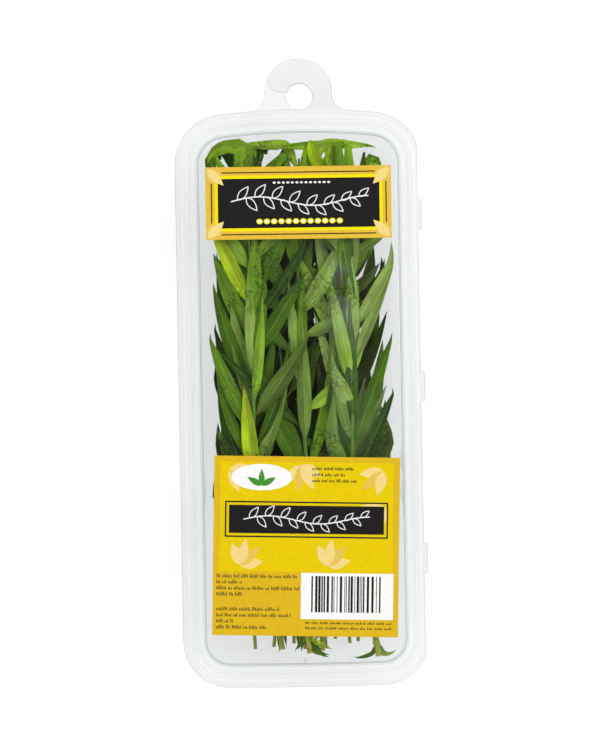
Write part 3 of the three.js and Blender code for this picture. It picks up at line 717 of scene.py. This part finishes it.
def leaf_blade(layer, path, leaf, room, looks):
    """A leaf as closed rings along its midrib. Across the blade a ring is a flat lens, bent up from the
    rib by the fold, turned by the roll and lifted at its edges by a slow wave. Its half-width is the widest
    times the 0.9th power of the sine of half a turn times the 0.75th power of the way along, and its base
    is drawn in smoothly over the first fifth."""
    kind = kind_of(layer)
    u = np.linspace(0, 1, LEAF_STEPS + 1)[:, None]
    width = leaf["half_width"] * np.sin(pi * u**0.75) ** 0.9 * ease(u, -0.06, 0.2)
    half = np.maximum(width, np.where(u < 0.5, LEAST_BASE, LEAST_TIP))
    x, y, turn = path.T[..., None]
    roll = leaf["roll"] + leaf["twist"] * (u - 0.5)
    middle = between(kind["stem_height"], leaf["height"], ease(u, 0, 0.22)) + TIP_RISE * (u - 0.45)
    around = np.linspace(0, 2 * pi, AROUND, endpoint=False)
    s, side_up = np.cos(around), np.sin(around)
    wide, reach = half * np.cos(roll), []
    for hand in (1, -1):
        edge_x, edge_y = x + hand * np.cos(turn) * wide, y - hand * np.sin(turn) * wide
        free = np.vectorize(room)(edge_x, edge_y)
        reach.append(np.maximum(wide + np.minimum(free, 0), np.minimum(wide, LEAST_REACH)))
    shift = np.where(s > 0, reach[0], reach[1]) * s
    px, py = x + np.cos(turn) * shift, y - np.sin(turn) * shift
    phase = looks["waves"] * u + looks["phase"] + 0.3 * s
    wave = WAVE_HEIGHT * s**2 * np.sin(2 * pi * phase)
    fold = (leaf["fold"] + looks["cup"]) * half * np.abs(s)
    ends = np.sin(pi * np.clip(u, 0.02, 0.98)) ** 0.5
    height = middle + half * s * np.sin(roll) + fold + wave * ends
    height = np.clip(height, LEAF_CLEARANCE, kind["thickness"] - LEAF_CLEARANCE)
    thick = EDGE_THICK + (BLADE_THICK - EDGE_THICK) * np.abs(side_up)
    rib = RIB_HEIGHT * np.exp(-((s / RIB_WIDTH) ** 2)) * ends
    surface = np.where(side_up > 0, thick - 0.8 * rib, -thick - rib) * np.minimum(1, np.abs(side_up) * 2.2)
    pz = layer_base(layer) + height + surface + crown(px, py)
    under = 0.5 - 0.5 * looks["face"] * np.sign(side_up)
    marks = np.stack(np.broadcast_arrays(looks["tone"], u, 0.5 + 0.5 * s, under), -1)
    return np.stack([px, py, pz], -1), marks, 0


def stem_tube(layer, course, joints, tone):
    """A stem as rings round its course. Its radius falls evenly to the tip and swells at each joint."""
    v = np.linspace(0, 1, STEM_RINGS)
    kind = kind_of(layer)
    x, y = np.array([course(one) for one in v]).T
    swells = np.exp(-(((v[:, None] - joints) / JOINT_LENGTH) ** 2)).sum(1)
    radius = between(kind["stem_radius"], STEM_TIP_RADIUS, v) * (1 + JOINT_SWELL * swells)
    angle = np.linspace(0, 2 * pi, STEM_SIDES, endpoint=False)
    z = layer_base(layer) + kind["stem_height"] + crown(x, y)
    rings = np.stack([
        x[:, None] + radius[:, None] * np.cos(angle),
        np.repeat(y[:, None], STEM_SIDES, 1),
        z[:, None] + radius[:, None] * np.sin(angle),
    ], -1)
    return rings, np.stack(np.broadcast_arrays(tone, v[:, None], 0.5, angle * 0), -1), 1


def closed_tube(rings, first):
    """The faces of a row of rings, turned outwards, with a flat face at each end."""
    rows, columns = rings.shape[:2]
    sides = band_faces(rows, columns, first)[:, ::-1]
    start, end = first + np.arange(columns), first + (rows - 1) * columns + np.arange(columns)
    return [*sides.tolist(), start.tolist(), end[::-1].tolist()]


def tube_piece(name, tubes, mark, materials, sharp=SHARP_BEND):
    """A piece of closed tubes, each given as rings, a colour for each point and its material's number. The
    mesh keeps the colours as a mark."""
    points, faces, colours, kinds, first = [], [], [], [], 0
    for rings, marks, kind in tubes:
        tube = closed_tube(rings, first)
        faces += tube
        kinds += [kind] * len(tube)
        points.append(rings.reshape(-1, 3))
        colours.append(np.reshape(marks, (-1, 4)))
        first += len(points[-1])
    piece = new_piece(name, np.concatenate(points), faces, materials, sharp, kinds)
    stored = piece.data.attributes.new(mark, "FLOAT_COLOR", "POINT")
    stored.data.foreach_set("color", np.concatenate(colours).astype(np.float32).ravel())
    return piece


def sprig_parts(number, layer, side):
    """The tubes of a sprig's stem and leaves, in the order in which they grow."""
    draw = seeded_draw(BUNCH_SEED + 977 * number)
    chance = np.random.default_rng(4000 + number)
    kind = kind_of(layer)
    wall = wall_inset(layer) + WALL_MARGIN

    def to_divider(x, y):
        return side * (x - divider(layer, y))

    def room(x, y):
        return min(inset_at(x, y) - wall, inf if side == 0 else to_divider(x, y) - DIVIDER_MARGIN)

    course = stem_line(layer, side, draw)
    roll_sign = -1 if draw(-1, 1) < 0 else 1
    sprig_tone = chance.uniform(*TONES)
    leaves, joints = [], []
    for j in range(kind["leaves"]):
        low = j < kind["low_leaves"]
        place = min(max((j + draw(-LEAF_JITTER, LEAF_JITTER)) / (kind["leaves"] - 1), 0), 1)
        v = draw(*LOW_LEAF["at"]) if low else between(*LEAFY, place)
        hand = 1 if j % 2 == 0 else -1
        x, y = course(v)
        back_x, back_y = course(max(v - LEAF_SUNK / STEM_LENGTH, 0))
        along = atan2(x - back_x, y - back_y)
        widest = between(*HALF_WIDTHS, v)
        half_width = draw(*LOW_LEAF["half_width"]) if low else widest * draw(kind["slim"], 1.15)
        toward = to_divider(x, y) if side == -hand else HALF_WIDTH - wall - hand * x
        free = toward - half_width
        chosen = draw(0, 1)
        stray = not low and chosen < kind["strays"]
        over = not low and chosen > 1 - kind["over_stem"]
        usual = LONE_ANGLE if side == 0 else PAIR_ANGLE
        angles = LOW_LEAF["angle"] if low else STRAY_ANGLE if stray else OVER_STEM if over else usual
        wanted = radians(draw(*angles))
        full = draw(*LOW_LEAF["length"]) if low else between(*LENGTHS, v) * draw(0.84, 1.12)
        length = min(max(free / sin(wanted), LEAST_LEAF), full) if stray else full
        angle = wanted if low else min(wanted, 1.3 * asin(min(max(free / length, 0.1), 0.9)))
        turn_back = angle * draw(*(LOW_LEAF if low else kind)["turn_back"])
        leaf = {
            "half_width": half_width,
            "roll": roll_sign * radians(draw(4, 9)),
            "twist": radians(draw(-6, 6)),
            "fold": draw(0.02, 0.09),
            "height": kind["levels"][-1 if over else (j >> 1) % len(kind["levels"])],
        }
        path = midrib((x, y), along + hand * angle, hand * turn_back, length, half_width, room, hand)
        young = chance.random() < YOUNG_SHARE
        looks = {
            "tone": 1.0 if young else np.clip(sprig_tone + chance.normal(0, 0.2) + 0.1 * v**3, 0, 0.92),
            "face": -1 if chance.random() < TURNED_SHARE and not young else 1,
            "waves": chance.uniform(0.8, 2.2),
            "phase": chance.uniform(0, 1),
            "cup": chance.uniform(-0.02, 0.08),
        }
        leaves.append(leaf_blade(layer, path, leaf, room, looks))
        joints.append(v)
    return [stem_tube(layer, course, np.array(joints), sprig_tone), *leaves]


def ramp(value, stops):
    """A colour for each value, from stops given as (place, colour)."""
    made = add_node(value, "ValToRGB", {0: value})
    first, last = made.color_ramp.elements
    first.position, first.color = stops[0][0], (*stops[0][1], 1)
    last.position, last.color = stops[-1][0], (*stops[-1][1], 1)
    for place, colour in stops[1:-1]:
        made.color_ramp.elements.new(place).color = (*colour, 1)
    return made.outputs["Color"]


LIT_ABOVE, LIT_BELOW = (0.0130, 0.0200), (0.0060, 0.0025)  # metres: the heights where light comes in
BACKLIT_TOP_END = (0.060, 0.080)  # metres along the pack, where the painted light through the top-end leaves begins
STREAKS = (5.0, 13.0, 90.0)  # along, across, and from one leaf's tone to the next


def leaf_material():
    """Satin leaf green, its tone from the leaf's own mark: one half lighter than the other, the painted light
    and shade of a folded blade, fine streaks along it, a pale rib, a grayer underside and mottled wet
    patches. It is painted brighter and yellower at the bunch's top end, as light coming up through the
    leaves, and darker deep in the bunch, where little light comes."""
    material, tree, place = new_material("tarragon_leaf")
    own = add_node(tree, "Attribute", attribute_name="growth")
    marks = add_node(tree, "SeparateColor", {0: own.outputs["Color"]}).outputs
    tone, along, across, under = marks["Red"], marks["Green"], marks["Blue"], own.outputs["Alpha"]
    greens = ramp(tone, [
        (0.0, (0.014, 0.045, 0.001)), (0.3, (0.056, 0.132, 0.002)), (0.55, (0.140, 0.275, 0.007)),
        (0.92, (0.290, 0.460, 0.055)), (1.0, (0.400, 0.560, 0.008)),
    ])
    backs = ramp(tone, [
        (0.0, (0.075, 0.135, 0.016)), (0.5, (0.185, 0.295, 0.050)), (1.0, (0.340, 0.465, 0.115)),
    ])
    faced = blend(under, greens, backs)
    # Painted light and shade: one half of each leaf is lightened and the other darkened, as light falls on a
    # folded blade.
    painted_lit_half = reckon("SINE", times(tone, 61.0))
    lean = reckon("SUBTRACT", across, 0.5)
    painted_fold_light = times(smooth_step(lean, -0.06, 0.06), painted_lit_half)
    shade = ranged(painted_fold_light, -1.0, 1.0, 0.62, 1.38)
    cloud = noise(place, 120.0, 4.0)
    uneven = ranged(cloud, 0.3, 0.7, 0.78, 1.16)
    axes = add_node(tree, "SeparateXYZ", {"Vector": place}).outputs
    seen = reckon("ADD", smooth_step(axes["Z"], *LIT_ABOVE), smooth_step(axes["Z"], *LIT_BELOW))
    lit = ranged(seen, 0.0, 1.0, 0.19, 1.0)
    stretched = [times(mark, many) for mark, many in zip((along, across, tone), STREAKS)]
    lengthwise = add_node(tree, "CombineXYZ", dict(enumerate(stretched))).outputs[0]
    streaked = ranged(noise(lengthwise, 1.0, 3.0), 0.32, 0.68, 0.74, 1.24)
    level = {0: faced, 1: times(shade, uneven, streaked, lit)}
    toned = add_node(tree, "VectorMath", level, operation="MULTIPLY").outputs[0]
    # Painted light: at the top end the leaves are brightened and yellowed, as if lit through from below.
    at_top = smooth_step(axes["Y"], *BACKLIT_TOP_END)
    toned = blend(at_top, toned, (1.15, 1.2, 0.3, 1), "MULTIPLY")
    off = reckon("ABSOLUTE", lean)
    rib = times(smooth_step(off, 0.045, 0.01), 0.30, lit)
    ribbed = blend(rib, toned, (0.30, 0.42, 0.12, 1))
    zone = smooth_step(noise(place, 48.0, 2.0), 0.50, 0.60)
    damp = times(zone, smooth_step(noise(place, 900.0, 4.0), 0.46, 0.60))
    mottled = blend(times(damp, 0.8), ribbed, (0.32, 0.38, 0.30, 1), "MULTIPLY")
    veins = reckon("SINE", times(off, 130.0))
    swell = reckon("MULTIPLY_ADD", veins, 0.2, cloud)
    show(add_node(tree, "BsdfPrincipled", {
        "Base Color": mottled, "Roughness": ranged(damp, 0.0, 1.0, 0.44, 0.25),
        "Normal": raised(swell, 0.4, 0.0004), "Coat Weight": times(damp, 0.15),
        "IOR": 1.42, "Specular IOR Level": 0.15,
    }))
    return material


def stem_material():
    """Green bark, pale near the cut end, where it browns a little, with fine lengthwise streaks."""
    material, tree, place = new_material("tarragon_stem")
    own = add_node(tree, "Attribute", attribute_name="growth")
    along = add_node(tree, "SeparateColor", {0: own.outputs["Color"]}).outputs["Green"]
    green = ramp(along, [
        (0.0, (0.42, 0.34, 0.08)), (0.012, (0.30, 0.33, 0.035)), (0.12, (0.22, 0.34, 0.03)),
        (0.3, (0.10, 0.19, 0.02)), (1.0, (0.12, 0.24, 0.02)),
    ])
    stretched = add_node(tree, "Mapping", {"Vector": place, "Scale": (1.0, 0.12, 1.0)}).outputs[0]
    streak = noise(stretched, 1600.0, 2.0)
    bark = blend(smooth_step(streak, 0.4, 0.7), green, (0.7, 0.75, 0.55, 1), "MULTIPLY")
    show(add_node(tree, "BsdfPrincipled", {
        "Base Color": bark, "Roughness": 0.5, "Normal": raised(streak, 0.3, 0.0001),
        "Specular IOR Level": 0.3,
    }))
    return material


leaf_green, stem_green = leaf_material(), stem_material()
layers = range(PRESSED_LAYERS + LOOSE_LAYERS)
lanes = [(layer, side) for layer in layers for side in ((0,) if layer % 2 == 0 else (-1, 1))]
for number, lane in enumerate(lanes, start=1):
    name = f"sprig_{number:02d}"
    parts = sprig_parts(number, *lane)
    sprig = tube_piece(name + "_leaves", parts, "growth", [leaf_green, stem_green], sharp=60)
    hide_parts(name)
    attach(sprig, "tray")

# ---- The narrow label ----
# A gold paper label near the tab, printed with a black panel in a double frame. Its artwork is a plain
# ornament: a drawn sprig in white between two rows of beads, with a fan of leaves in each corner.

LABEL_THICKNESS = 0.2
INK = 0.012  # height of one layer of print
GLUE = 0.02  # under the paper
TOP_GOLD, GOLD = (0.70, 0.45, 0.040), (0.65, 0.42, 0.012)
PALE_GOLD, OLD_GOLD = (0.80, 0.61, 0.22), (0.70, 0.48, 0.08)
LEMON, YELLOW = (0.82, 0.70, 0.0), (0.71, 0.525, 0.0)
BLACK, WHITE, PAPER_BACK = (0.012, 0.010, 0.011), (0.84, 0.84, 0.83), (0.72, 0.71, 0.67)
LEAF_GREEN, FINE_PRINT = (0.05, 0.25, 0.03), (0.07, 0.05, 0.015)
POINTED = 0.012  # the least half-width of a printed shape, so that its ends aren't quite sharp


def turned(points, angle, place):
    """Flat points turned about the origin, and moved to a place."""
    c, s = cos(radians(angle)), sin(radians(angle))
    return points @ np.array([[c, s], [-s, c]]) + place


def bar(x, y, width, height):
    """An upright oblong. A printed shape is a row of stations, each with a left and a right point."""
    left, right, low, high = x - width / 2, x + width / 2, y - height / 2, y + height / 2
    return np.array([[[left, high], [left, low]], [[right, high], [right, low]]])


def drawn_leaf(x, y, length, width, angle):
    """A pointed leaf from its root. The half-width is half the width times the sine of half a turn times
    the 0.8th power of the way along."""
    t = np.linspace(0, 1, 15)
    half = 0.5 * width * np.sin(pi * t**0.8) + POINTED
    edge = np.stack([np.column_stack([t * length, half]), np.column_stack([t * length, -half])], 1)
    return turned(edge, angle, (x, y))


def ribbon(line, width):
    """A line drawn with an even pen: its points moved by half the width to the left and to the right."""
    off = left_of(np.gradient(line, axis=0)) * width / 2
    return np.stack([line + off, line - off], 1)


def ellipse(x, y, width, height, steps=16):
    """An ellipse about its middle, as stations from its left end to its right one."""
    angle = np.linspace(pi, 0, steps)
    across, up = x + width / 2 * np.cos(angle), height / 2 * np.sin(angle) + POINTED
    return np.stack([np.column_stack([across, y + up]), np.column_stack([across, y - up])], 1)


def frame_lines(left, right, low, high, pen):
    """The four sides of a thin frame, as bars."""
    across, along = (left + right) / 2, (low + high) / 2
    return [
        bar(across, low, right - left + pen, pen), bar(across, high, right - left + pen, pen),
        bar(left, along, pen, high - low - pen), bar(right, along, pen, high - low - pen),
    ]


def inked(level, colour, shapes):
    """Shapes printed in one colour at one level."""
    return [(level, colour, shape) for shape in shapes]


def drawn_sprig(level, colour, x, y, length, height, pen):
    """A sprig drawn with a pen: a stem as a slow wave, and open leaves above and below it by turns, smaller
    and flatter towards its tip."""

    def stem_y(t):
        return y + height * 0.16 * np.sin(2 * pi * 1.25 * t)

    lines = []
    for n, at in enumerate(np.linspace(0.05, 0.93, 15)):
        side, size = 1 if n % 2 == 0 else -1, height * (0.60 - 0.16 * at)
        blade = drawn_leaf(x + (at - 0.5) * length, stem_y(at), size, size * 0.42, side * (52 - 14 * at))
        lines += [ribbon(blade[:, 0], pen * 0.8), ribbon(blade[:, 1], pen * 0.8)]
    t = np.linspace(0, 1, 60)
    stem = ribbon(np.column_stack([x + (t - 0.5) * length, stem_y(t)]), pen)
    return inked(level, colour, lines) + inked(level + 1, colour, [stem])


def printed_label(node, place, turn, width, height, ground, shapes):
    """A paper label with its print. The paper is a thin oblong sheet with a white back, and each printed
    shape is a thin plate on it, as many layers of ink high as its level says. All carry their colour as a
    mark: that of the lower side, and that of the upper one."""
    tubes, top = [], LID_HEIGHT + LABEL_THICKNESS
    plates = [(bar(0, 0, width, height), PAPER_BACK, ground, LID_HEIGHT + GLUE, top)]
    plates += [(shape, colour, colour, top - INK, top + INK * level) for level, colour, shape in shapes]
    for shape, lower, upper, low, high in plates:
        rails = turned(shape[:, [1, 0, 0, 1]], turn, place)
        heights = np.tile([[low], [low], [high], [high]], (len(shape), 1, 1))
        colours = [(*lower, 1), (*lower, 1), (*upper, 1), (*upper, 1)] * len(shape)
        tubes.append((np.concatenate([rails, heights], 2), colours, 0))
    piece = tube_piece(node + "_paper", tubes, "ink", [label_paper])
    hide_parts(node)
    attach(piece, "lid")


def paper_material():
    """Coated paper: the printed colour with a faint grain and a satin gloss."""
    material, tree, place = new_material("label_paper")
    ink = add_node(tree, "Attribute", attribute_name="ink").outputs["Color"]
    grain = noise(place, 700.0, 4.0)
    worn = blend(smooth_step(grain, 0.3, 0.75), ink, (0.93, 0.92, 0.90, 1), "MULTIPLY")
    show(add_node(tree, "BsdfPrincipled", {
        "Base Color": worn, "Roughness": ranged(grain, 0.0, 1.0, 0.34, 0.5),
        "Normal": raised(grain, 0.08, 0.0001), "Specular IOR Level": 0.12,
    }))
    return material


label_paper = paper_material()
TOP_WIDTH, TOP_LENGTH, TOP_PEN = 67.6, 26.4, 0.42
half_w, half_h = TOP_WIDTH / 2, TOP_LENGTH / 2
thin_frame = frame_lines(-half_w + 2.2, half_w - 1.9, -half_h + 1.8, half_h - 2.1, TOP_PEN)
art = inked(1, BLACK, thin_frame)
art += inked(1, LEMON, [bar(0.1, -0.1, TOP_WIDTH - 6.6, TOP_LENGTH - 6.2)])
art += inked(2, BLACK, [bar(0.1, -0.1, TOP_WIDTH - 8.8, TOP_LENGTH - 8.4)])
for east, north in ((1, 1), (-1, 1), (-1, -1), (1, -1)):
    root = east * (half_w - 0.7), north * (half_h - 0.7)
    for level, fan, length, tone in ((3, 22, 6.2, OLD_GOLD), (4, 68, 6.2, OLD_GOLD), (5, 45, 8.4, PALE_GOLD)):
        inward = atan2(-north * sin(radians(fan)), -east * cos(radians(fan)))
        art += inked(level, tone, [drawn_leaf(*root, length, 3.4, degrees(inward))])
art += drawn_sprig(3, WHITE, 0.5, 0.6, 50.0, 10.4, TOP_PEN)
art += inked(3, WHITE, [ellipse(-8.7 + n * 1.65, 7.35, 1.1, 0.75) for n in range(13)])
for n in range(12):
    spot = (-14.2 + n * 2.65, -6.7)
    art += [(3, LEMON, ellipse(*spot, 2.35, 2.0)), (4, WHITE, ellipse(*spot, 1.35, 1.1))]
printed_label("label_top", (0.0, 61.9), -0.3, TOP_WIDTH, TOP_LENGTH, TOP_GOLD, art)

# ---- The large label ----
# The same gold paper over the lid's lower third: a bright yellow field with pale leaves, a straight black
# band, and below it plain rules of print beside a white plate of bars. It names nothing and has no seal.

BOTTOM_WIDTH, BOTTOM_LENGTH = 67.6, 65.3
FIELD_WIDTH, FIELD_LENGTH, FIELD_EDGE = 63.0, 40.0, 2.0
FANS = (  # each fan's root, its heading in degrees and its number of leaves
    (-28, 28, -35, 3), (-2, 29.5, -80, 4), (29, 13.5, 205, 3),
    (8, -7, 65, 4), (-24, -7, 60, 4), (28, 27.5, -140, 3),
)
FAN_TONES = (PALE_GOLD, OLD_GOLD, (0.80, 0.60, 0.22))
TICK_WIDTH, TICK_STEP, WORD_GAP = 0.3, 0.52, 0.55
PRINT = (  # each block's left side, height of type and level, and each line's place and length
    (-32.3, 1.35, 1, ((-11.2, 29), (-13.4, 9), (-15.6, 30), (-17.8, 9))),
    (-32.3, 1.35, 1, ((-23.2, 23), (-25.4, 27), (-27.6, 6), (-29.8, 18))),
    (0.2, 0.9, 1, ((-27.9, 31), (-29.8, 31))),
    (2.0, 1.1, 6, ((28.2, 15), (26.0, 12), (23.8, 16))),
)
PLATE_X, PLATE_Y, BARS_REACH, BAR_UNIT = 15.1, -18.0, 13.0, 0.28

chance = np.random.default_rng(77)
half_h = BOTTOM_LENGTH / 2
art = inked(1, YELLOW, [bar(0, half_h - FIELD_EDGE - FIELD_LENGTH / 2, FIELD_WIDTH, FIELD_LENGTH)])
for root_x, root_y, heading, count in FANS:
    for n in range(count):
        off = n - (count - 1) / 2
        leaf = drawn_leaf(root_x, root_y, 10.5 - 1.3 * abs(off), 3.9, heading + off * 34)
        art += inked(2 + n, FAN_TONES[n % 3], [leaf])
art += inked(6, BLACK, [*frame_lines(-29.4, 29.4, 3.4, 16.0, 0.5), bar(0, 9.7, 56.4, 10.2)])
art += drawn_sprig(7, WHITE, 0, 9.6, 46.0, 8.6, 0.38)
art += inked(6, WHITE, [ellipse(-16.5, 25.0, 22.0, 9.6, 32)])
for level, angle in ((7, 150), (8, 30), (9, 90)):
    art += inked(level, LEAF_GREEN, [drawn_leaf(-16.5, 22.0, 6.0, 2.2, angle)])


def print_rule(x, y, length, tall):
    """A row of short upright ticks in groups, as dense as small print, that spells nothing."""
    shapes, at = [], x
    while at < x + length:
        for _ in range(int(chance.integers(3, 9))):
            if at >= x + length:
                break
            size = tall * chance.choice([0.62, 0.62, 0.9, 1.0])
            shapes.append(bar(at, y + size / 2 - tall / 3, TICK_WIDTH, size))
            at += TICK_STEP
        at += WORD_GAP
    return shapes


for left, tall, level, rows in PRINT:
    for row_y, row_length in rows:
        art += inked(level, FINE_PRINT, print_rule(left, row_y, row_length, tall))
art += inked(2, WHITE, [bar(PLATE_X, PLATE_Y, 33.6, 16.8)])
at = PLATE_X - BARS_REACH
while at < PLATE_X + BARS_REACH:
    thick = BAR_UNIT * chance.integers(1, 4)
    art += inked(3, BLACK, [bar(at + thick / 2, PLATE_Y + 0.7, thick, 13.2)])
    at += thick + BAR_UNIT * chance.integers(1, 4)
printed_label("label_bottom", (0.5, -63.2), -1.8, BOTTOM_WIDTH, BOTTOM_LENGTH, GOLD, art)
